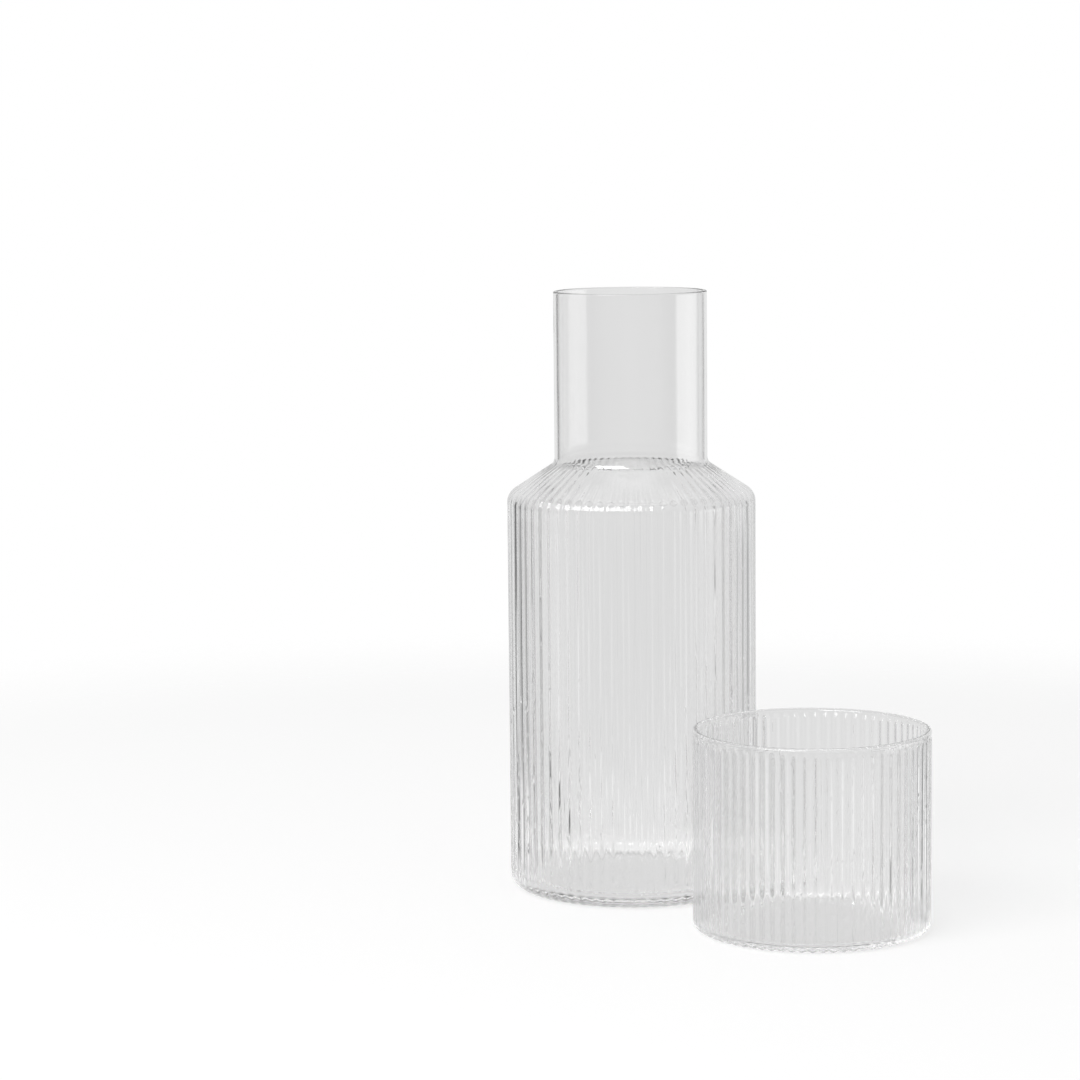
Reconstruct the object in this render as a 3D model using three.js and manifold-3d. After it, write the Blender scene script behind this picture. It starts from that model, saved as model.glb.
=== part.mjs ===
// Ribbed glass carafe with the tumbler that stands beside it.
// Millimetres, +Z up. The origin is the middle of the carafe's foot, and both glasses stand on z = 0.

import * as THREE from "three";
import { mergeVertices } from "three/addons/utils/BufferGeometryUtils.js";
import Module from "manifold-3d";

// Carafe
const CARAFE_DIAMETER = 70; // over the rib crests
const CARAFE_HEIGHT = 169;
const CARAFE_WALL = 2; // at a rib crest
const CARAFE_FLOOR = 3;
const CARAFE_FOOT_ROUND = 4.5;
const CARAFE_FLOOR_ROUND = 3;
const CARAFE_RIBS = 68;
const CARAFE_RIB_DEPTH = 0.4;
const SHOULDER_SLOPE = 33; // degrees below level
const SHOULDER_ROUND = 4.5;
const NECK_DIAMETER = 43;
const NECK_LENGTH = 48; // from the rim down to where the shoulder starts
const NECK_WALL = 1.1;
const NECK_ROOT_ROUND = 2.5;
const NECK_RIB_SHARE = 0.5; // of the rib depth, left where the ribs run into the neck

// Tumbler
const TUMBLER_DIAMETER = 64; // over the rib crests
const TUMBLER_HEIGHT = 54.3;
const TUMBLER_WALL = 1.7; // at a rib crest
const TUMBLER_FLOOR = 1.5;
const TUMBLER_FOOT_ROUND = 2;
const TUMBLER_FLOOR_ROUND = 1.2;
const TUMBLER_RIBS = 70;
const TUMBLER_RIB_DEPTH = 0.4;
const TUMBLER_LIP = 0.9; // smooth band below the rim
const RIB_FADE = 2; // length over which a rib dies into the lip

// How the glasses stand together
const GLASS_GAP = 4.7;
const TUMBLER_BEARING = -48; // degrees from +X, seen from above

// How finely the curves are cut
const RIB_STEPS = 3;
const ARC_STEP = 2.4; // longest straight step round a corner
const INSIDE_SEGMENTS = 48;

const RIM_ROUND_SHARE = 0.45; // of the wall, on each side of a rim
const CUT_MARGIN = 2; // how far a cutter stands out above a rim

const wasm = await Module();
wasm.setup();

function direction(from, to) {
  return new THREE.Vector2(to.r - from.r, to.z - from.z).normalize();
}

// The points of a profile with rounded corners. The ribbed value of a corner is the share of the
// rib depth on the stretch that leaves it, and an arc goes from one stretch's share to the next.
function roundedProfile(corners) {
  const points = [];
  corners.forEach((corner, k) => {
    const at = new THREE.Vector2(corner.r, corner.z);
    const ribbed = corner.ribbed ?? 0;
    if (!corner.round) {
      points.push({ at, ribbed });
      return;
    }
    const before = corners[k - 1].ribbed ?? 0;
    const back = direction(corner, corners[k - 1]);
    const ahead = direction(corner, corners[k + 1]);
    const half = Math.acos(back.dot(ahead)) / 2;
    const middle = back.clone().add(ahead).normalize();
    const centre = at.clone().addScaledVector(middle, corner.round / Math.sin(half));
    const start = at.clone().addScaledVector(back, corner.round / Math.tan(half));
    const turn = -Math.sign(back.cross(ahead)) * (Math.PI - 2 * half);
    const steps = Math.max(2, Math.ceil((Math.abs(turn) * corner.round) / ARC_STEP));
    for (let i = 0; i <= steps; i++) {
      const along = i / steps;
      points.push({
        at: start.clone().rotateAround(centre, turn * along),
        ribbed: THREE.MathUtils.lerp(before, ribbed, along),
      });
    }
  });
  return points;
}

// A lathe of the profile, turned from its own Y axis to +Z.
function turned(points, segments) {
  const profile = points.map((point) => point.at);
  return new THREE.LatheGeometry(profile, segments).rotateX(Math.PI / 2);
}

// A lathe with upright ribs: one line of it in every RIB_STEPS is pulled in as a groove.
function ribbedLathe(corners, ribs, depth, radius) {
  const points = roundedProfile(corners);
  const lathe = turned(points, ribs * RIB_STEPS);
  const place = lathe.getAttribute("position");
  for (let i = 0; i < place.count; i++) {
    const line = Math.floor(i / points.length);
    const groove = line % RIB_STEPS === 0 ? depth : 0;
    const scale = 1 - (points[i % points.length].ribbed * groove) / radius;
    place.setXY(i, place.getX(i) * scale, place.getY(i) * scale);
  }
  return lathe;
}

function toSolid(geometry) {
  geometry.deleteAttribute("normal");
  geometry.deleteAttribute("uv");
  const merged = mergeVertices(geometry, 1e-4);
  const index = merged.getIndex().array;
  const corners = [];
  for (let i = 0; i < index.length; i += 3) {
    const [a, b, c] = [index[i], index[i + 1], index[i + 2]];
    if (a !== b && b !== c && c !== a) {
      corners.push(a, b, c);
    }
  }
  const mesh = new wasm.Mesh({
    numProp: 3,
    vertProperties: merged.getAttribute("position").array,
    triVerts: new Uint32Array(corners),
  });
  return new wasm.Manifold(mesh);
}

function toGeometry(solid) {
  const mesh = solid.getMesh();
  const geometry = new THREE.BufferGeometry();
  geometry.setAttribute("position", new THREE.BufferAttribute(mesh.vertProperties, 3));
  geometry.setIndex(new THREE.BufferAttribute(mesh.triVerts, 1));
  geometry.computeVertexNormals();
  return geometry;
}

// The corners with which a cutter leaves a rim: a rounded inner edge, then straight up.
function mouth(radius, height, wall) {
  const round = RIM_ROUND_SHARE * wall;
  return [
    { r: radius, z: height, round },
    { r: radius + round, z: height },
    { r: radius + round, z: height + CUT_MARGIN },
    { r: 0, z: height + CUT_MARGIN },
  ];
}

// The corners with which the outside of a glass ends: a rounded outer edge, then the axis.
function rim(radius, height, wall) {
  return [
    { r: radius, z: height, round: RIM_ROUND_SHARE * wall },
    { r: 0, z: height },
  ];
}

function carafeGeometry() {
  const radius = CARAFE_DIAMETER / 2;
  const neck = NECK_DIAMETER / 2;
  const slope = THREE.MathUtils.degToRad(SHOULDER_SLOPE);
  const neckRoot = CARAFE_HEIGHT - NECK_LENGTH;
  const shoulderAt = (r) => neckRoot - (r - neck) * Math.tan(slope);
  const ribsEnd = neck + NECK_ROOT_ROUND;
  const outside = ribbedLathe(
    [
      { r: 0, z: 0 },
      { r: radius, z: 0, round: CARAFE_FOOT_ROUND, ribbed: 1 },
      { r: radius, z: shoulderAt(radius), round: SHOULDER_ROUND, ribbed: 1 },
      { r: ribsEnd, z: shoulderAt(ribsEnd), ribbed: NECK_RIB_SHARE },
      { r: neck, z: neckRoot, round: NECK_ROOT_ROUND },
      ...rim(neck, CARAFE_HEIGHT, NECK_WALL),
    ],
    CARAFE_RIBS,
    CARAFE_RIB_DEPTH,
    radius,
  );
  const insideRadius = radius - CARAFE_WALL;
  const insideNeck = neck - NECK_WALL;
  const insideAt = (r, wall) => shoulderAt(r) - wall / Math.cos(slope);
  const inside = turned(
    roundedProfile([
      { r: 0, z: CARAFE_FLOOR },
      { r: insideRadius, z: CARAFE_FLOOR, round: CARAFE_FLOOR_ROUND },
      { r: insideRadius, z: insideAt(insideRadius, CARAFE_WALL), round: SHOULDER_ROUND - CARAFE_WALL },
      { r: insideNeck, z: insideAt(insideNeck, NECK_WALL), round: NECK_ROOT_ROUND + NECK_WALL },
      ...mouth(insideNeck, CARAFE_HEIGHT, NECK_WALL),
    ]),
    INSIDE_SEGMENTS,
  );
  return toGeometry(toSolid(outside).subtract(toSolid(inside)));
}

function tumblerGeometry() {
  const radius = TUMBLER_DIAMETER / 2;
  const lip = TUMBLER_HEIGHT - TUMBLER_LIP;
  const outside = ribbedLathe(
    [
      { r: 0, z: 0, ribbed: 1 },
      { r: radius, z: 0, round: TUMBLER_FOOT_ROUND, ribbed: 1 },
      { r: radius, z: lip - RIB_FADE, ribbed: 1 },
      { r: radius, z: lip },
      ...rim(radius, TUMBLER_HEIGHT, TUMBLER_WALL),
    ],
    TUMBLER_RIBS,
    TUMBLER_RIB_DEPTH,
    radius,
  );
  const insideRadius = radius - TUMBLER_WALL;
  const inside = turned(
    roundedProfile([
      { r: 0, z: TUMBLER_FLOOR },
      { r: insideRadius, z: TUMBLER_FLOOR, round: TUMBLER_FLOOR_ROUND },
      ...mouth(insideRadius, TUMBLER_HEIGHT, TUMBLER_WALL),
    ]),
    INSIDE_SEGMENTS,
  );
  return toGeometry(toSolid(outside).subtract(toSolid(inside)));
}

function glass(name, geometry, colour) {
  const material = new THREE.MeshStandardMaterial({
    color: colour,
    roughness: 0.04,
    metalness: 0,
    transparent: true,
    opacity: 0.35,
  });
  const mesh = new THREE.Mesh(geometry, material);
  mesh.name = name;
  return mesh;
}

const carafe = glass("carafe", carafeGeometry(), 0xebebeb);
const tumbler = glass("tumbler", tumblerGeometry(), 0xededed);

const spacing = CARAFE_DIAMETER / 2 + GLASS_GAP + TUMBLER_DIAMETER / 2;
const bearing = THREE.MathUtils.degToRad(TUMBLER_BEARING);
tumbler.position.set(spacing * Math.cos(bearing), spacing * Math.sin(bearing), 0);

const set = new THREE.Group();
set.name = "ribbed_carafe_with_tumbler";
set.add(carafe, tumbler);

export default set;
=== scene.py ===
"""Ribbed glass carafe with a tumbler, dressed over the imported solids."""

import math

import bmesh
import bpy
from bpy.props import FloatProperty, FloatVectorProperty, IntProperty, PointerProperty
from mathutils import Matrix, Vector


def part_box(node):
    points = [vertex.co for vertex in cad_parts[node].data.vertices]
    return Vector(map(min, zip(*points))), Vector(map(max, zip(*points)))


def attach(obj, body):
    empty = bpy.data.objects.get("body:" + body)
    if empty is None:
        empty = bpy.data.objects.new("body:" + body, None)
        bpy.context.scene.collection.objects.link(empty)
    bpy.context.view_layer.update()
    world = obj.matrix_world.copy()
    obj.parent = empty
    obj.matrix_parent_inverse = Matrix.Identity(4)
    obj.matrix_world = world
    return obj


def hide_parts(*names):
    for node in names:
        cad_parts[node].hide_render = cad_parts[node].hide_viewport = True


bl_info = {
    "name": "Ribbed Carafe and Tumbler",
    "version": (1, 0, 0),
    "blender": (4, 5, 0),
    "location": "View3D > Sidebar > Glassware",
    "description": "Builds a ribbed glass carafe and its tumbler over their packed solids",
    "category": "Object",
}

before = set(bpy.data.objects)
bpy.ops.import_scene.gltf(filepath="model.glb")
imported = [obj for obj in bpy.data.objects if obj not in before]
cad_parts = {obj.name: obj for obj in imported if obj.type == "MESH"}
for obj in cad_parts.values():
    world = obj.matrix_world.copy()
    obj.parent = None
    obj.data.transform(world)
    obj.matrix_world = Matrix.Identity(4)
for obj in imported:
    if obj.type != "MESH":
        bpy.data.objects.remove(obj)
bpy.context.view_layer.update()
CARAFE_LOW, CARAFE_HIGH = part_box("carafe")
TUMBLER_LOW, TUMBLER_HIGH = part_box("tumbler")
MM = 0.001


def foot(low, high):
    """The middle of a glass's foot, and its radius."""
    middle = Vector(((low.x + high.x) / 2, (low.y + high.y) / 2, low.z))
    return middle, (high.x - low.x) / 2


CARAFE_FOOT, CARAFE_FOOT_RADIUS = foot(CARAFE_LOW, CARAFE_HIGH)
TUMBLER_FOOT, TUMBLER_FOOT_RADIUS = foot(TUMBLER_LOW, TUMBLER_HIGH)


def length(name, description, default, **limits):
    """A size in metres."""
    return FloatProperty(
        name=name, description=description, default=default, unit="LENGTH", precision=5, **limits
    )


def angle(name, description, default):
    """An angle, given in radians."""
    return FloatProperty(name=name, description=description, default=default, subtype="ANGLE", precision=4)


def colour(name, description, default):
    """A colour."""
    return FloatVectorProperty(
        name=name, description=description, default=default, subtype="COLOR", size=3, min=0, max=1
    )


class CarafeSettings(bpy.types.PropertyGroup):
    """Sizes of the carafe."""

    diameter: length("Diameter", "Body over the rib crests", CARAFE_HIGH.x - CARAFE_LOW.x)
    height: length("Height", "From foot to rim", CARAFE_HIGH.z)
    wall: length("Wall", "Thickness of the body at a rib crest", 2.0 * MM)
    floor: length("Floor", "Thickness of the floor in its middle", 3.0 * MM)
    foot_round: length("Foot round", "Outer corner of the foot", 4.5 * MM)
    floor_round: length("Floor round", "Inner corner of the floor", 3.0 * MM)
    shoulder_slope: angle("Shoulder slope", "Fall of the shoulder below level", math.radians(33))
    shoulder_round: length("Shoulder round", "Bend from the shoulder to the body", 4.5 * MM)
    neck_diameter: length("Neck diameter", "Outside of the neck", 43 * MM)
    neck_length: length("Neck length", "From the rim to the shoulder", 48 * MM)
    neck_wall: length("Neck wall", "Thickness of the neck", 1.1 * MM)
    neck_round: length("Neck round", "Bend from the neck to the shoulder", 2.5 * MM)
    root_wall: length("Root wall", "Thickness of the shoulder at the neck's root", 0.88 * MM)
    rim_round: length("Rim round", "Each corner of the rim", 0.33 * MM)
    ribs: IntProperty(name="Ribs", description="Ribs round the body", default=68, min=8)
    rib_depth: length("Rib depth", "Depth of the grooves on the upper body", 0.4 * MM)
    deep_ribs: FloatProperty(
        name="Deep ribs", description="Depth of the grooves near the foot, times the rib depth", default=1.4
    )
    deep_height: length("Deep ribs' height", "Height at which the grooves are deepest", 9.68 * MM)
    even_height: length("Even ribs' height", "Height above which the grooves are even", 60.5 * MM)
    ribs_end: length("Ribs' end", "From the neck's wall out to where the ribs run out", 4.0 * MM)
    ribs_left: FloatProperty(
        name="Ribs left", description="Depth of the grooves there, times the rib depth", default=0.15
    )


class TumblerSettings(bpy.types.PropertyGroup):
    """Sizes of the tumbler."""

    diameter: length("Diameter", "Outside over the rib crests", TUMBLER_HIGH.x - TUMBLER_LOW.x)
    height: length("Height", "From foot to rim", TUMBLER_HIGH.z)
    wall: length("Wall", "Thickness at a rib crest", 1.7 * MM)
    floor: length("Floor", "Thickness of the floor in its middle", 1.5 * MM)
    foot_round: length("Foot round", "Outer corner of the foot", 2.0 * MM)
    floor_round: length("Floor round", "Inner corner of the floor", 1.2 * MM)
    lip: length("Lip", "Smooth band below the rim", 0.9 * MM)
    rib_fade: length("Rib fade", "Length over which a rib dies into the lip", 2.0 * MM)
    rim_round: length("Rim round", "Each corner of the rim", 0.816 * MM)
    ribs: IntProperty(name="Ribs", description="Ribs round the wall", default=70, min=8)
    rib_depth: length("Rib depth", "Depth of the grooves", 0.4 * MM)


class GlassSettings(bpy.types.PropertyGroup):
    """Finish of both glasses."""

    rib_steps: IntProperty(name="Rib steps", description="Faces across one rib", default=10, min=4)
    groove: FloatProperty(
        name="Groove", description="How narrow the grooves are beside the crests", default=1.15, min=1
    )
    waviness: length("Waviness", "Uneven thickness of the blown wall", 0.16 * MM)
    unevenness: FloatProperty(
        name="Unevenness", description="How much the depth of the ribs varies", default=0.6, min=0, max=1
    )
    clear: colour("Clear glass", "Tint where the glass is clearest", (0.985, 0.985, 0.985))
    body: colour("Body tint", "Tint where the melt is a little denser", (0.965, 0.965, 0.965))


class StageSettings(bpy.types.PropertyGroup):
    """Floor, light and camera."""

    floor_radius: length("Floor radius", "Size of the round floor", 0.5)
    floor_colour: colour("Floor", "Pale floor", (0.93, 0.93, 0.93))
    backdrop: FloatProperty(name="Backdrop", description="Grey that the glass shows behind it", default=0.8)
    fill: FloatProperty(name="Fill", description="Even light on the floor from all round", default=0.45)
    key_bearing: angle("Key bearing", "Way to the key lamp, from straight behind", math.radians(215))
    key_distance: length("Key distance", "From the glasses to the key lamp, on the level", 1.05)
    key_height: length("Key height", "Key lamp above the middle of the glasses", 0.78)
    key_width: length("Key width", "Width of the key lamp", 1.0)
    key_depth: length("Key depth", "Height of the key lamp's face", 0.8)
    key_brightness: FloatProperty(name="Key brightness", description="Times white", default=7.0)
    camera_height: length("Camera height", "Lens above the floor", 0.21703)
    camera_distance: length("Camera distance", "Lens in front of the carafe's axis", 0.95949)
    camera_yaw: angle("Camera yaw", "Turn to the right", -0.0269)
    camera_pitch: angle("Camera pitch", "Tilt down", 0.1225)
    camera_roll: angle("Camera roll", "Turn about the view", -0.0097)
    lens: FloatProperty(name="Lens", description="Focal length in millimetres", default=114.147)


def add(tree, kind, inputs=None, **settings):
    """A new node with its settings, and its inputs linked to sockets or set to values."""
    node = tree.nodes.new(kind)
    for name, value in settings.items():
        setattr(node, name, value)
    for key, value in (inputs or {}).items():
        if isinstance(value, bpy.types.NodeSocket):
            tree.links.new(value, node.inputs[key])
        else:
            node.inputs[key].default_value = value
    return node


def maths(tree, operation, first, second=0.0):
    """The output of a Math node."""
    return add(tree, "ShaderNodeMath", {0: first, 1: second}, operation=operation).outputs[0]


def fade(tree, value, start, end):
    """1 below start, 0 above end, and smooth between them."""
    return add(
        tree,
        "ShaderNodeMapRange",
        {"Value": value, "From Min": start, "From Max": end, "To Min": 1.0, "To Max": 0.0},
        interpolation_type="SMOOTHSTEP",
    ).outputs[0]


def ramp(tree, value, start, end, low, high):
    """From low at start to high at end in a straight line, and level beyond them."""
    return add(
        tree,
        "ShaderNodeMapRange",
        {"Value": value, "From Min": start, "From Max": end, "To Min": low, "To Max": high},
    ).outputs[0]


def blend(tree, share, first, second):
    """The first number where share is 0, the second where it is 1."""
    return add(tree, "ShaderNodeMix", {0: share, 2: first, 3: second}, data_type="FLOAT").outputs[0]


def emptied_tree(owner):
    """The node tree of a material or world, with no nodes in it yet."""
    owner.use_nodes = True
    owner.node_tree.nodes.clear()
    return owner.node_tree


class Corner:
    """A corner of a glass's profile: radius, height, rounding, and what the stretch after it carries."""

    def __init__(self, r, z, bend=0.0, ribbed=0.0, wavy=0.0):
        self.at = Vector((r, z))
        self.bend = bend
        self.ribbed = ribbed
        self.wavy = wavy


ARC_STEPS = 7  # along each bend, and where the ribs fade
RIB_CHANGE = 0.3  # of the rib depth, from which ribs count as fading
STRETCH = 7 * MM  # longest step along a shaped stretch
GUARD = 0.4 * MM  # a point this far inside each end keeps a straight stretch's shading straight
GUARDED = 5 * GUARD  # shortest stretch that gets these points
SAME_PLACE = 1e-7


def rounded_profile(corners):
    """Points (place, ribbed, wavy, facing) along the corners, with arcs at the bends."""
    points = []

    def reach(place, ribbed, wavy):
        """Go straight from the last point to this one, with the steps that the stretch needs."""
        if points:
            last, last_ribbed, last_wavy = points[-1]
            run = (place - last).length
            shaped = ribbed or wavy or last_ribbed or last_wavy
            steps = math.ceil(run / STRETCH) if shaped else 1
            if abs(ribbed - last_ribbed) > RIB_CHANGE:
                steps = max(steps, ARC_STEPS)
            stops = [i / steps for i in range(1, steps)]
            if run > GUARDED:
                stops = sorted([GUARD / run, *stops, 1 - GUARD / run])
            for t in stops:
                ease = t * t * (3 - 2 * t)
                points.append(
                    (
                        last.lerp(place, t),
                        last_ribbed + (ribbed - last_ribbed) * ease,
                        last_wavy + (wavy - last_wavy) * ease,
                    )
                )
            if run < SAME_PLACE:
                return
        points.append((place, ribbed, wavy))

    for k, corner in enumerate(corners):
        if not corner.bend:
            reach(corner.at, corner.ribbed, corner.wavy)
            continue
        before = corners[k - 1]
        back = (before.at - corner.at).normalized()
        ahead = (corners[k + 1].at - corner.at).normalized()
        half = back.angle(ahead) / 2
        centre = corner.at + (back + ahead).normalized() * (corner.bend / math.sin(half))
        start = corner.at + back * (corner.bend / math.tan(half)) - centre
        turn = math.copysign(math.pi - 2 * half, ahead.x * back.y - ahead.y * back.x)
        for i in range(ARC_STEPS + 1):
            t = i / ARC_STEPS
            arm = Matrix.Rotation(turn * t, 2) @ start
            ease = math.sin(t * math.pi / 2)
            reach(
                centre + arm,
                before.ribbed + (corner.ribbed - before.ribbed) * ease,
                before.wavy + (corner.wavy - before.wavy) * ease,
            )
    faced = []
    for k, point in enumerate(points):
        along = (points[min(k + 1, len(points) - 1)][0] - points[max(k - 1, 0)][0]).normalized()
        faced.append((*point, Vector((along.y, -along.x))))
    return faced


WELD = 1e-6  # points nearer than this become one


def ribbed_glass_tree():
    """Geometry nodes that turn a profile round Z and press ribs into its outside."""
    tree = bpy.data.node_groups.new("ribbed_glass", "GeometryNodeTree")
    sockets = tree.interface
    sockets.new_socket("Profile", in_out="INPUT", socket_type="NodeSocketGeometry")
    for name, kind in (
        ("Ribs", "Int"),
        ("Rib Steps", "Int"),
        ("Rib Depth", "Float"),
        ("Radius", "Float"),
        ("Groove", "Float"),
        ("Waviness", "Float"),
        ("Unevenness", "Float"),
        ("Wave Seed", "Float"),
        ("Glass", "Material"),
    ):
        sockets.new_socket(name, in_out="INPUT", socket_type="NodeSocket" + kind)
    sockets.new_socket("Piece", in_out="OUTPUT", socket_type="NodeSocketGeometry")
    given = add(tree, "NodeGroupInput").outputs
    profile = given["Profile"]

    rows = add(tree, "GeometryNodeAttributeDomainSize", {0: profile}, component="MESH").outputs[0]
    columns = maths(tree, "MULTIPLY", given["Ribs"], given["Rib Steps"])
    grid = add(
        tree,
        "GeometryNodeMeshGrid",
        {
            "Size X": 1.0,
            "Size Y": 1.0,
            "Vertices X": rows,
            "Vertices Y": maths(tree, "ADD", columns, 1.0),
        },
    ).outputs[0]
    here = add(tree, "GeometryNodeInputPosition").outputs[0]
    spread = add(tree, "ShaderNodeSeparateXYZ", {0: here}).outputs
    down = maths(tree, "MULTIPLY", maths(tree, "ADD", spread[0], 0.5), maths(tree, "SUBTRACT", rows, 1.0))
    row = maths(tree, "ROUND", down)
    turn = maths(tree, "ADD", spread[1], 0.5)

    def on_profile(value, kind):
        return add(
            tree,
            "GeometryNodeSampleIndex",
            {"Geometry": profile, "Value": value, "Index": row},
            data_type=kind,
            domain="POINT",
        ).outputs[0]

    def named(name):
        return add(
            tree, "GeometryNodeInputNamedAttribute", {"Name": name}, data_type="FLOAT"
        ).outputs[0]

    place = add(tree, "ShaderNodeSeparateXYZ", {0: on_profile(here, "FLOAT_VECTOR")}).outputs
    ribbed = on_profile(named("ribbed"), "FLOAT")
    wavy = on_profile(named("wavy"), "FLOAT")
    heading = maths(tree, "MULTIPLY", turn, -math.tau)
    cosine = maths(tree, "COSINE", heading)
    sine = maths(tree, "SINE", heading)

    def uneven(rise, scale, shift):
        """A number about 0 that drifts round the glass and up it, faster up it with more rise."""
        up = maths(tree, "MULTIPLY", place[2], rise)
        return maths(
            tree,
            "SUBTRACT",
            add(
                tree,
                "ShaderNodeTexNoise",
                {
                    "Vector": add(tree, "ShaderNodeCombineXYZ", {0: cosine, 1: sine, 2: up}).outputs[0],
                    "W": maths(tree, "ADD", given["Wave Seed"], shift),
                    "Scale": scale,
                    "Detail": 2.0,
                },
                noise_dimensions="4D",
            ).outputs[0],
            0.5,
        )

    ribs_round = maths(tree, "MULTIPLY", turn, given["Ribs"])
    rib = maths(tree, "SINE", maths(tree, "MULTIPLY", ribs_round, math.pi))
    groove = maths(tree, "POWER", maths(tree, "MULTIPLY", rib, rib), given["Groove"])
    varied = maths(tree, "MULTIPLY", given["Unevenness"], uneven(rise=2.0, scale=9.0, shift=4.0))
    depth = maths(tree, "MULTIPLY", given["Rib Depth"], maths(tree, "ADD", 1.0, varied))
    narrowing = maths(tree, "DIVIDE", place[0], given["Radius"])
    pressed = maths(
        tree,
        "MULTIPLY",
        maths(tree, "MULTIPLY", depth, groove),
        maths(tree, "MULTIPLY", ribbed, narrowing),
    )
    swell = maths(
        tree,
        "MULTIPLY",
        maths(tree, "MULTIPLY", given["Waviness"], wavy),
        uneven(rise=14.0, scale=2.4, shift=0.0),
    )
    inwards = maths(tree, "MULTIPLY", pressed, on_profile(named("facing_out"), "FLOAT"))
    radius = maths(tree, "ADD", maths(tree, "SUBTRACT", place[0], inwards), swell)
    upwards = maths(tree, "MULTIPLY", pressed, on_profile(named("facing_up"), "FLOAT"))
    moved = add(
        tree,
        "ShaderNodeCombineXYZ",
        {
            0: maths(tree, "MULTIPLY", radius, cosine),
            1: maths(tree, "MULTIPLY", radius, sine),
            2: maths(tree, "SUBTRACT", place[2], upwards),
        },
    ).outputs[0]
    shaped = add(tree, "GeometryNodeSetPosition", {"Geometry": grid, "Position": moved}).outputs[0]
    closed = add(tree, "GeometryNodeMergeByDistance", {"Geometry": shaped, "Distance": WELD}).outputs[0]
    smooth = add(tree, "GeometryNodeSetShadeSmooth", {"Geometry": closed, "Shade Smooth": True}).outputs[0]
    real = add(tree, "GeometryNodeRealizeInstances", {"Geometry": smooth}).outputs[0]
    glass = add(tree, "GeometryNodeSetMaterial", {"Geometry": real, "Material": given["Glass"]}).outputs[0]
    add(tree, "NodeGroupOutput", {"Piece": glass})
    return tree


def ribbed_piece(name, corners, material, sizes, finish, middle, seed):
    """One glass as a plain mesh, made by the node tree from its profile and set down at its place."""
    points = rounded_profile(corners)
    mesh = bpy.data.meshes.new(name + "_profile")
    steps = [(i, i + 1) for i in range(len(points) - 1)]
    mesh.from_pydata([(place.x, 0, place.y) for place, *_ in points], steps, [])
    carried = {
        "ribbed": [ribbed for _, ribbed, _, _ in points],
        "wavy": [wavy for _, _, wavy, _ in points],
        "facing_out": [facing.x for *_, facing in points],
        "facing_up": [facing.y for *_, facing in points],
    }
    for label, values in carried.items():
        mesh.attributes.new(label, "FLOAT", "POINT").data.foreach_set("value", values)
    base = bpy.data.objects.new(name + "_profile", mesh)
    bpy.context.scene.collection.objects.link(base)
    modifier = base.modifiers.new("ribbed_glass", "NODES")
    modifier.node_group = bpy.data.node_groups.get("ribbed_glass") or ribbed_glass_tree()
    given = {
        "Ribs": sizes.ribs,
        "Rib Steps": finish.rib_steps,
        "Rib Depth": sizes.rib_depth,
        "Radius": sizes.diameter / 2,
        "Groove": finish.groove,
        "Waviness": finish.waviness,
        "Unevenness": finish.unevenness,
        "Wave Seed": seed,
        "Glass": material,
    }
    for socket in modifier.node_group.interface.items_tree:
        if socket.in_out == "INPUT" and socket.name in given:
            modifier[socket.identifier] = given[socket.name]
    evaluated = base.evaluated_get(bpy.context.evaluated_depsgraph_get())
    made = bpy.data.meshes.new_from_object(evaluated)
    made.name = name
    made.transform(Matrix.Translation(middle))
    piece = bpy.data.objects.new(name, made)
    bpy.context.scene.collection.objects.link(piece)
    bpy.data.objects.remove(base)
    bpy.data.meshes.remove(mesh)
    return piece


GLASS_IOR = 1.473
SKIN_WEIGHT = 0.35  # of the skin's waves beside the bubbles
EMPTY_CELLS = 0.86  # share of the cells that hold no bubble
BUBBLE_RADIUS = 0.035  # of a cell
MARK_DRAW = 0.2  # the marks are drawn out upwards to one over this
MARKS_FROM, MARKS_FULL = 0.64, 0.74  # of the noise that draws them
MARKS_LOW, MARKS_HIGH = 0.02, 0.08  # heights between which they die out
ROUGHEST = 0.02


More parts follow.
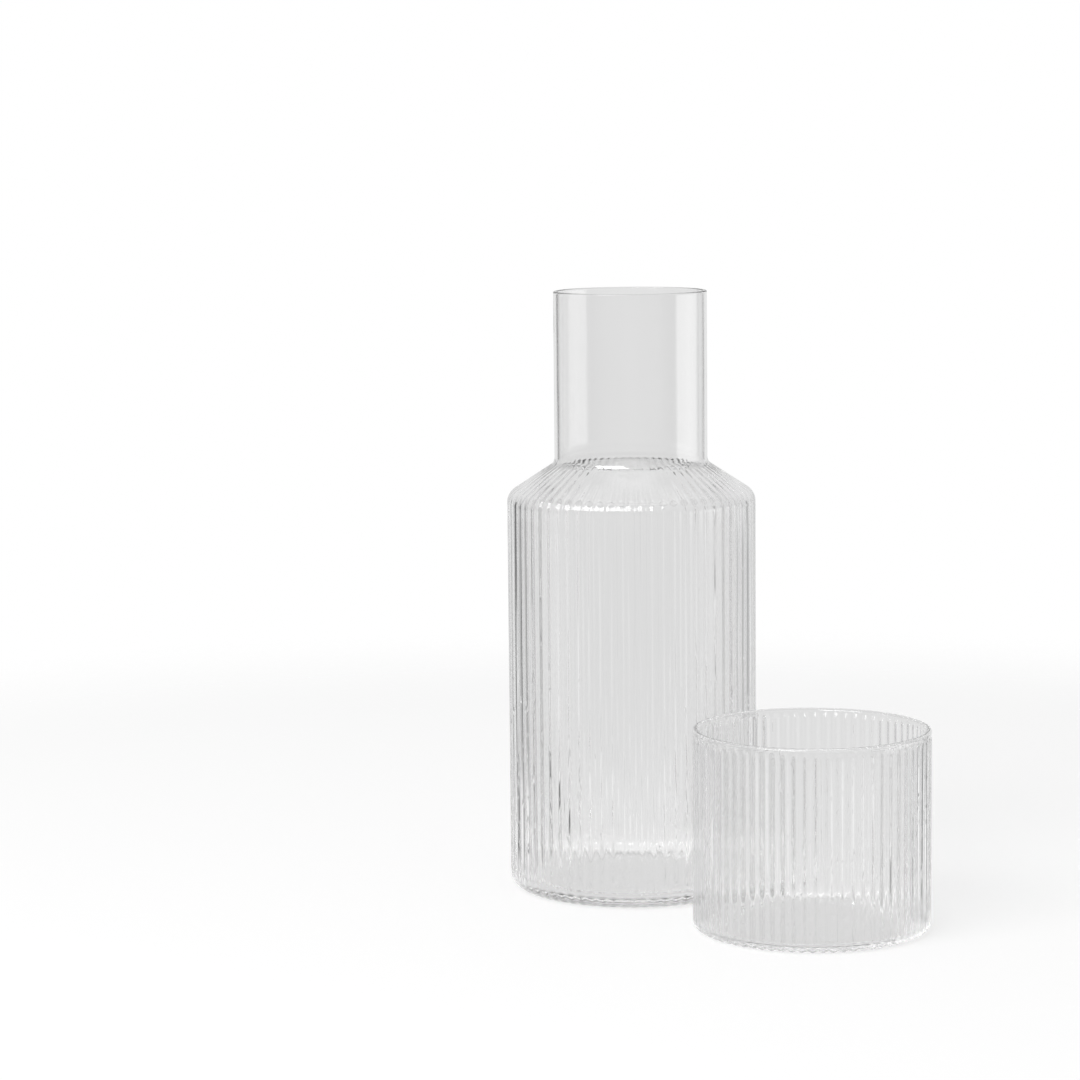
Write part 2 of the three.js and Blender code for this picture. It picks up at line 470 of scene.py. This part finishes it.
def glass_material(name, finish, seed):
    """Clear blown glass: an uneven tint, a skin with slow waves, a few bubbles, and fine marks low down."""
    material = bpy.data.materials.new(name)
    tree = emptied_tree(material)
    where = add(tree, "ShaderNodeTexCoord").outputs["Object"]

    def noise(place, shift, scale, detail):
        return add(
            tree,
            "ShaderNodeTexNoise",
            {"Vector": place, "W": seed + shift, "Scale": scale, "Detail": detail},
            noise_dimensions="4D",
        ).outputs[0]

    melt = noise(where, shift=0.0, scale=28.0, detail=2.0)
    tints = {0: melt, 6: (*finish.body, 1), 7: (*finish.clear, 1)}
    tint = add(tree, "ShaderNodeMix", tints, data_type="RGBA").outputs[2]
    rough = ramp(tree, melt, 0.3, 0.7, 0.0, ROUGHEST)

    skin = maths(tree, "MULTIPLY", noise(where, shift=3.0, scale=90.0, detail=1.5), SKIN_WEIGHT)
    spread = {"Vector": where, "Scale": 95.0}
    cells = add(tree, "ShaderNodeTexVoronoi", spread, voronoi_dimensions="3D").outputs
    draw = add(tree, "ShaderNodeSeparateColor", {0: cells["Color"]}).outputs[0]
    seeded = maths(tree, "GREATER_THAN", draw, EMPTY_CELLS)
    dot = ramp(tree, cells["Distance"], 0.0, BUBBLE_RADIUS, 1.0, 0.0)
    bubbles = maths(tree, "MULTIPLY", seeded, dot)
    drawn = add(tree, "ShaderNodeMapping", {"Vector": where, "Scale": (1, 1, MARK_DRAW)}).outputs[0]
    lines = noise(drawn, shift=7.0, scale=1100.0, detail=1.0)
    low_down = fade(tree, add(tree, "ShaderNodeSeparateXYZ", {0: where}).outputs[2], MARKS_LOW, MARKS_HIGH)
    marks = maths(tree, "MULTIPLY", ramp(tree, lines, MARKS_FROM, MARKS_FULL, 0.0, 1.0), low_down)
    height = maths(tree, "ADD", maths(tree, "ADD", skin, bubbles), marks)
    bump = add(tree, "ShaderNodeBump", {"Strength": 0.25, "Distance": 0.3 * MM, "Height": height})

    glass = add(
        tree,
        "ShaderNodeBsdfPrincipled",
        {
            "Base Color": tint,
            "Roughness": rough,
            "Normal": bump.outputs[0],
            "IOR": GLASS_IOR,
            "Transmission Weight": 1.0,
        },
    )
    add(tree, "ShaderNodeOutputMaterial", {"Surface": glass.outputs[0]})
    return material


class GLASSWARE_OT_carafe(bpy.types.Operator):
    """Build the carafe: ribbed body and shoulder, smooth neck, rounded rim"""

    bl_idname = "glassware.carafe"
    bl_label = "Build Carafe"

    def execute(self, context):
        sizes = context.scene.carafe_sizes
        finish = context.scene.glass_finish
        body = sizes.diameter / 2
        neck = sizes.neck_diameter / 2
        slope = sizes.shoulder_slope
        root = sizes.height - sizes.neck_length

        def shoulder(r):
            """Height of the shoulder's outside at that radius."""
            return root - (r - neck) * math.tan(slope)

        def under(r, wall):
            """Height of the shoulder's inside at that radius, under a wall that thick."""
            return shoulder(r) - wall / math.cos(slope)

        inner_body = body - sizes.wall
        inner_neck = neck - sizes.neck_wall
        inner_root_round = sizes.neck_round + sizes.neck_wall
        inner_shoulder_round = sizes.shoulder_round - sizes.wall
        ribs_end = neck + sizes.ribs_end
        corners = [
            Corner(0, 0),
            Corner(body, 0, sizes.foot_round, ribbed=1),
            Corner(body, sizes.deep_height, ribbed=sizes.deep_ribs),
            Corner(body, sizes.even_height, ribbed=1),
            Corner(body, shoulder(body), sizes.shoulder_round, ribbed=1),
            Corner(ribs_end, shoulder(ribs_end), ribbed=sizes.ribs_left),
            Corner(neck, root, sizes.neck_round),
            Corner(neck, sizes.height, sizes.rim_round),
            Corner(inner_neck, sizes.height, sizes.rim_round, wavy=0.4),
            Corner(inner_neck, under(inner_neck, sizes.root_wall), inner_root_round, wavy=1),
            Corner(inner_body, under(inner_body, sizes.wall), inner_shoulder_round, wavy=1),
            Corner(inner_body, sizes.floor, sizes.floor_round),
            Corner(0, sizes.floor),
        ]
        material = glass_material("carafe_clear_glass", finish, seed=2.0)
        piece = ribbed_piece("carafe_glass", corners, material, sizes, finish, CARAFE_FOOT, seed=5.0)
        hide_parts("carafe")
        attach(piece, "carafe")
        return {"FINISHED"}


class GLASSWARE_OT_tumbler(bpy.types.Operator):
    """Build the tumbler: ribbed wall under a smooth rounded rim"""

    bl_idname = "glassware.tumbler"
    bl_label = "Build Tumbler"

    def execute(self, context):
        sizes = context.scene.tumbler_sizes
        finish = context.scene.glass_finish
        outside = sizes.diameter / 2
        inside = outside - sizes.wall
        lip = sizes.height - sizes.lip
        corners = [
            Corner(0, 0),
            Corner(outside - sizes.foot_round - sizes.rib_fade, 0),
            Corner(outside - sizes.foot_round, 0, ribbed=1),
            Corner(outside, 0, sizes.foot_round, ribbed=1),
            Corner(outside, lip - sizes.rib_fade, ribbed=1),
            Corner(outside, lip),
            Corner(outside, sizes.height, sizes.rim_round),
            Corner(inside, sizes.height, sizes.rim_round, wavy=1),
            Corner(inside, sizes.floor, sizes.floor_round),
            Corner(0, sizes.floor),
        ]
        material = glass_material("tumbler_clear_glass", finish, seed=11.0)
        piece = ribbed_piece("tumbler_glass", corners, material, sizes, finish, TUMBLER_FOOT, seed=17.0)
        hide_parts("tumbler")
        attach(piece, "tumbler")
        return {"FINISHED"}


def seen_rays(tree):
    """1 for rays straight from the camera, and 1 for rays that come to it through or off the glass."""
    path = add(tree, "ShaderNodeLightPath").outputs
    return path["Is Camera Ray"], maths(tree, "MAXIMUM", path["Is Transmission Ray"], path["Is Glossy Ray"])


def bearing_of(tree, x, y):
    """The bearing of a level way: 0.5 straight behind, 0 and 1 straight in front, more to the right."""
    return maths(tree, "ADD", maths(tree, "DIVIDE", maths(tree, "ARCTAN2", x, y), math.tau), 0.5)


def round_tones(tree, bearing, tones):
    """A grey that changes with the bearing: tones are (degrees from straight behind, grey)."""
    node = add(tree, "ShaderNodeValToRGB", {0: bearing})
    stops = node.color_ramp.elements
    while len(stops) < len(tones):
        stops.new(0.5)
    for stop, (degrees, tone) in zip(stops, tones):
        stop.position = degrees / 360 + 0.5
        stop.color = (tone, tone, tone, 1)
    return node.outputs[0]


def wall_tones(backdrop):
    """Greys of the room above the neck: pale behind and dimmer at the sides."""
    left = [(-180, 0.6), (-140, 0.5), (-110, 0.4), (-45, 0.6), (-29, backdrop)]
    right = [(29, backdrop), (45, 0.7), (110, 0.6), (140, 0.5), (180, 0.6)]
    return left + right


def card_tones(backdrop):
    """Greys level with the neck: a dark card at each side of the backdrop, and a soft box at the right."""
    left = [(-180, 0.6), (-140, 0.5), (-110, 0.35), (-70, 0.6), (-43, 0.6), (-40, 0.13), (-33, 0.13)]
    behind = [(-29, backdrop), (30, backdrop)]
    right = [(32, 0.3), (35, 0.3), (38, 0.62), (57, 0.8), (60, 1.4), (80, 2.1), (104, 2.1)]
    front = [(107, 0.5), (115, 0.3), (140, 0.5), (180, 0.6)]
    return left + behind + right + front


def table_tones(backdrop):
    """Greys of the table far behind the bodies, with dark and bright cards standing on it."""
    left = [(-180, 0.6), (-140, 0.5), (-112, 0.5), (-98, 0.9), (-75, 0.9), (-60, 0.5), (-45, 0.4)]
    left += [(-41, 0.1), (-35, 0.1)]
    behind = [(-30, backdrop + 0.1), (-14, backdrop), (0, backdrop - 0.05), (14, backdrop)]
    behind += [(30, backdrop + 0.1)]
    right = [(35, 0.4), (43, 0.4), (50, 0.65), (62, 0.95), (98, 0.95), (115, 0.5), (150, 0.5), (180, 0.6)]
    return left + behind + right


def near_table_tones(backdrop):
    """Greys of the table nearer by, where the cards look narrower."""
    left = [(-180, 0.6), (-140, 0.5), (-112, 0.5), (-100, 0.95), (-78, 0.95), (-70, 0.25), (-62, 0.25)]
    left += [(-56, 0.95), (-48, 0.95), (-42, 0.1), (-34, 0.1)]
    behind = [(-29, backdrop + 0.2), (-14, backdrop + 0.03), (0, backdrop - 0.03), (14, backdrop + 0.03)]
    behind += [(29, backdrop + 0.2)]
    right = [(35, 0.25), (43, 0.25), (48, 0.95), (56, 0.95), (63, 0.3), (70, 0.3), (78, 1.0), (100, 1.0)]
    right += [(115, 0.5), (150, 0.5), (180, 0.6)]
    return left + behind + right


CEILING = 0.6
CEILING_PANEL = 1.2  # how much brighter a panel above the carafe is
PANEL_BACK = 0.32  # how far back the panel's middle lies, as a share of the way to it
PANEL_SIDES = 0.12, 0.3  # where the panel starts and stops to fade sideways, as shares too
PANEL_ENDS = 0.2, 0.35  # and where it does so forwards and backwards
CEILING_EDGE = math.radians(35), math.radians(55)  # rises between which the walls end
UNDER_TABLE = 0.85  # of the backdrop, looking steeply down
PAINTED_FOOT_SHADE = 0.9  # of the backdrop: painted shade under a foot, which rays through the glass see
PAINTED_SHADE_EDGE = 0.92, 1.08  # foot radii between which that painted shade ends
PAINTED_LIGHT_EDGE = 1.1, 2.3  # foot radii between which the painted spokes of light and shade die out
PAINTED_LIGHT_SEAM = -0.4, 0.4  # foot radii over which one glass's painted spokes give way to the other's
FLOOR_FADE = 0.6  # of the floor's radius, from which it fades out
FLOOR_WHITE = 0.75  # share of the floor's white that no shadow dims


def studio_world(fill, backdrop):
    """Pale behind the glasses, with dim and bright cards at the sides that show the ribs of clear glass."""
    world = bpy.data.worlds.new("studio")
    tree = emptied_tree(world)
    camera, through = seen_rays(tree)
    way = add(tree, "ShaderNodeTexCoord").outputs["Generated"]
    way = add(tree, "ShaderNodeSeparateXYZ", {0: way}).outputs
    bearing = bearing_of(tree, way[0], way[1])
    rise = maths(tree, "ARCSINE", way[2])

    # Each lower tone takes over between two rises, in degrees
    room = round_tones(tree, bearing, wall_tones(backdrop))
    for tone, lowest, highest in (
        (round_tones(tree, bearing, card_tones(backdrop)), -1, 3),
        (round_tones(tree, bearing, table_tones(backdrop)), -7.2, -6.2),
        (round_tones(tree, bearing, near_table_tones(backdrop)), -11.4, -10.2),
        (UNDER_TABLE * backdrop, -35, -18),
    ):
        room = blend(tree, fade(tree, rise, math.radians(lowest), math.radians(highest)), room, tone)
    across = fade(tree, maths(tree, "ABSOLUTE", way[0]), *PANEL_SIDES)
    along = maths(tree, "ABSOLUTE", maths(tree, "SUBTRACT", way[1], PANEL_BACK))
    panel = maths(tree, "MULTIPLY", across, fade(tree, along, *PANEL_ENDS))
    ceiling = maths(tree, "ADD", CEILING, maths(tree, "MULTIPLY", panel, CEILING_PANEL))
    room = blend(tree, fade(tree, rise, *CEILING_EDGE), ceiling, room)

    shown = maths(tree, "MAXIMUM", room, camera)
    seen = maths(tree, "MAXIMUM", camera, through)
    light = blend(tree, seen, fill, shown)
    glow = add(tree, "ShaderNodeBackground", {"Color": (1, 1, 1, 1), "Strength": light})
    add(tree, "ShaderNodeOutputWorld", {"Surface": glow.outputs[0]})
    return world


def floor_material(tone, radius, backdrop):
    """A pale floor that shows white and keeps part of the shadows; through the glass it shows painted shade
    under the feet and painted spokes of the light that ribs throw.
    """
    material = bpy.data.materials.new("pale_floor")
    tree = emptied_tree(material)
    camera, through = seen_rays(tree)
    where = add(tree, "ShaderNodeTexCoord").outputs["Object"]
    # Greys of the painted spokes round each foot, standing in for the light and shade that ribs throw
    left = [(-180, 0.6), (-120, 0.7), (-95, 0.9), (-80, 0.6), (-68, 0.9), (-58, 0.65), (-48, 0.9)]
    behind = [(-38, 0.7), (-28, 0.9), (-15, 1.0), (-5, 0.82), (5, 1.0), (15, 0.82), (28, 1.0)]
    right = [(38, 0.5), (48, 0.9), (58, 0.45), (68, 0.9), (80, 0.5), (95, 0.9), (120, 0.7), (180, 0.6)]
    plain_right = [(38, 0.8), (60, 0.85), (120, 0.8), (180, 0.6)]

    def distance(arm):
        return add(tree, "ShaderNodeVectorMath", {0: arm}, operation="LENGTH").outputs["Value"]

    def painted_light_and_shade(middle, foot_radius, tones):
        """How far out a place lies, in foot radii, and its grey: the foot's painted shade, then painted
        spokes of light and shade.
        """
        arm = add(tree, "ShaderNodeVectorMath", {0: where, 1: middle}, operation="SUBTRACT").outputs[0]
        away = maths(tree, "DIVIDE", distance(arm), foot_radius)
        level = add(tree, "ShaderNodeSeparateXYZ", {0: arm}).outputs
        spokes = round_tones(tree, bearing_of(tree, level[0], level[1]), tones)
        return away, blend(tree, fade(tree, away, *PAINTED_SHADE_EDGE), spokes, PAINTED_FOOT_SHADE * backdrop)

    from_carafe, by_carafe = painted_light_and_shade(CARAFE_FOOT, CARAFE_FOOT_RADIUS, left + behind + plain_right)
    from_tumbler, by_tumbler = painted_light_and_shade(TUMBLER_FOOT, TUMBLER_FOOT_RADIUS, left + behind + right)
    nearer = fade(tree, maths(tree, "SUBTRACT", from_carafe, from_tumbler), *PAINTED_LIGHT_SEAM)
    grey = blend(tree, nearer, by_tumbler, by_carafe)
    near = fade(tree, maths(tree, "MINIMUM", from_carafe, from_tumbler), *PAINTED_LIGHT_EDGE)

    matt = add(tree, "ShaderNodeBsdfDiffuse", {"Color": (*tone, 1)})
    # Through the glass the floor glows with these painted greys; straight from the camera it glows white
    strength = blend(tree, camera, grey, 1.0)
    white = add(tree, "ShaderNodeEmission", {"Color": (1, 1, 1, 1), "Strength": strength})
    glow = maths(tree, "MAXIMUM", through, maths(tree, "MULTIPLY", camera, FLOOR_WHITE))
    lit = add(tree, "ShaderNodeMixShader", {0: glow, 1: matt.outputs[0], 2: white.outputs[0]})
    plain = fade(tree, distance(where), FLOOR_FADE * radius, radius)
    solid = blend(tree, through, plain, near)
    gone = add(tree, "ShaderNodeBsdfTransparent")
    faded = add(tree, "ShaderNodeMixShader", {0: solid, 1: gone.outputs[0], 2: lit.outputs[0]})
    add(tree, "ShaderNodeOutputMaterial", {"Surface": faded.outputs[0]})
    return material


def beside(bearing, distance):
    """A level step in that bearing, from straight behind."""
    return Vector((math.sin(bearing), math.cos(bearing), 0)) * distance


def soft_lamp(name, place, aim, width, height, brightness):
    """A rectangular soft lamp at place, facing aim, as bright as that many times white."""
    lamp = bpy.data.lights.new(name, "AREA")
    lamp.shape = "RECTANGLE"
    lamp.size = width
    lamp.size_y = height
    lamp.energy = brightness * math.pi * width * height
    holder = bpy.data.objects.new(name, lamp)
    holder.location = place
    holder.rotation_euler = (aim - place).to_track_quat("-Z", "Y").to_euler()
    holder.visible_camera = False
    bpy.context.scene.collection.objects.link(holder)


FLOOR_DROP = 0.3 * MM  # keeps the floor from touching the feet
GLASSES_MIDDLE = Vector((0.02, -0.02, 0.09))
GLASS_BOUNCES = 32
GLOSSY_BOUNCES = 24


def add_floor(stage):
    """The round pale floor."""
    disc = bmesh.new()
    bmesh.ops.create_circle(disc, cap_ends=True, segments=96, radius=stage.floor_radius)
    bmesh.ops.translate(disc, verts=disc.verts, vec=(0, 0, -FLOOR_DROP))
    mesh = bpy.data.meshes.new("floor")
    disc.to_mesh(mesh)
    disc.free()
    mesh.materials.append(floor_material(stage.floor_colour, stage.floor_radius, stage.backdrop))
    floor = bpy.data.objects.new("floor", mesh)
    bpy.context.scene.collection.objects.link(floor)


def add_light(stage):
    """The room, the key lamp, and enough bounces for light to leave ribbed glass again."""
    scene = bpy.context.scene
    scene.world = studio_world(stage.fill, stage.backdrop)
    scene.cycles.max_bounces = GLASS_BOUNCES
    scene.cycles.glossy_bounces = GLOSSY_BOUNCES
    scene.cycles.transmission_bounces = GLASS_BOUNCES
    step = beside(stage.key_bearing, stage.key_distance) + Vector((0, 0, stage.key_height))
    place = GLASSES_MIDDLE + step
    soft_lamp("key_light", place, GLASSES_MIDDLE, stage.key_width, stage.key_depth, stage.key_brightness)


def add_camera(stage):
    """The camera, at the photograph's place and angle."""
    lens = bpy.data.cameras.new("camera")
    lens.lens = stage.lens
    lens.sensor_width = 36
    lens.sensor_fit = "HORIZONTAL"
    lens.clip_end = 50
    camera = bpy.data.objects.new("camera", lens)
    yaw, pitch, roll = stage.camera_yaw, stage.camera_pitch, stage.camera_roll
    ahead = beside(yaw, math.cos(pitch)) - Vector((0, 0, math.sin(pitch)))
    right = Vector((math.cos(yaw), -math.sin(yaw), 0))
    above = right.cross(ahead)
    side = right * math.cos(roll) + above * math.sin(roll)
    top = above * math.cos(roll) - right * math.sin(roll)
    turned = Matrix((side, top, -ahead)).transposed().to_4x4()
    camera.matrix_world = Matrix.Translation((0, -stage.camera_distance, stage.camera_height)) @ turned
    bpy.context.scene.collection.objects.link(camera)
    bpy.context.scene.camera = camera


class GLASSWARE_OT_stage(bpy.types.Operator):
    """Build the pale floor, the soft studio light and the camera"""

    bl_idname = "glassware.stage"
    bl_label = "Build Stage"

    def execute(self, context):
        stage = context.scene.stage_settings
        add_floor(stage)
        add_light(stage)
        add_camera(stage)
        context.scene.view_settings.view_transform = "Standard"
        return {"FINISHED"}


class GLASSWARE_PT_panel(bpy.types.Panel):
    """Buttons and sizes for the two glasses and their stage"""

    bl_label = "Glassware"
    bl_idname = "GLASSWARE_PT_panel"
    bl_space_type = "VIEW_3D"
    bl_region_type = "UI"
    bl_category = "Glassware"

    def draw(self, context):
        scene = context.scene
        for operator, settings in (
            ("glassware.carafe", scene.carafe_sizes),
            ("glassware.tumbler", scene.tumbler_sizes),
            ("glassware.stage", scene.stage_settings),
        ):
            box = self.layout.box()
            box.operator(operator)
            for name in settings.__annotations__:
                box.prop(settings, name)
        for name in scene.glass_finish.__annotations__:
            self.layout.prop(scene.glass_finish, name)


SETTINGS = {
    "carafe_sizes": CarafeSettings,
    "tumbler_sizes": TumblerSettings,
    "glass_finish": GlassSettings,
    "stage_settings": StageSettings,
}
CLASSES = (
    *SETTINGS.values(),
    GLASSWARE_OT_carafe,
    GLASSWARE_OT_tumbler,
    GLASSWARE_OT_stage,
    GLASSWARE_PT_panel,
)


def register():
    for kind in CLASSES:
        bpy.utils.register_class(kind)
    for name, kind in SETTINGS.items():
        setattr(bpy.types.Scene, name, PointerProperty(type=kind))


def unregister():
    for name in SETTINGS:
        delattr(bpy.types.Scene, name)
    for kind in reversed(CLASSES):
        bpy.utils.unregister_class(kind)


def main():
    register()
    bpy.ops.glassware.carafe()
    bpy.ops.glassware.tumbler()
    bpy.ops.glassware.stage()


if __name__ == "__main__":
    main()
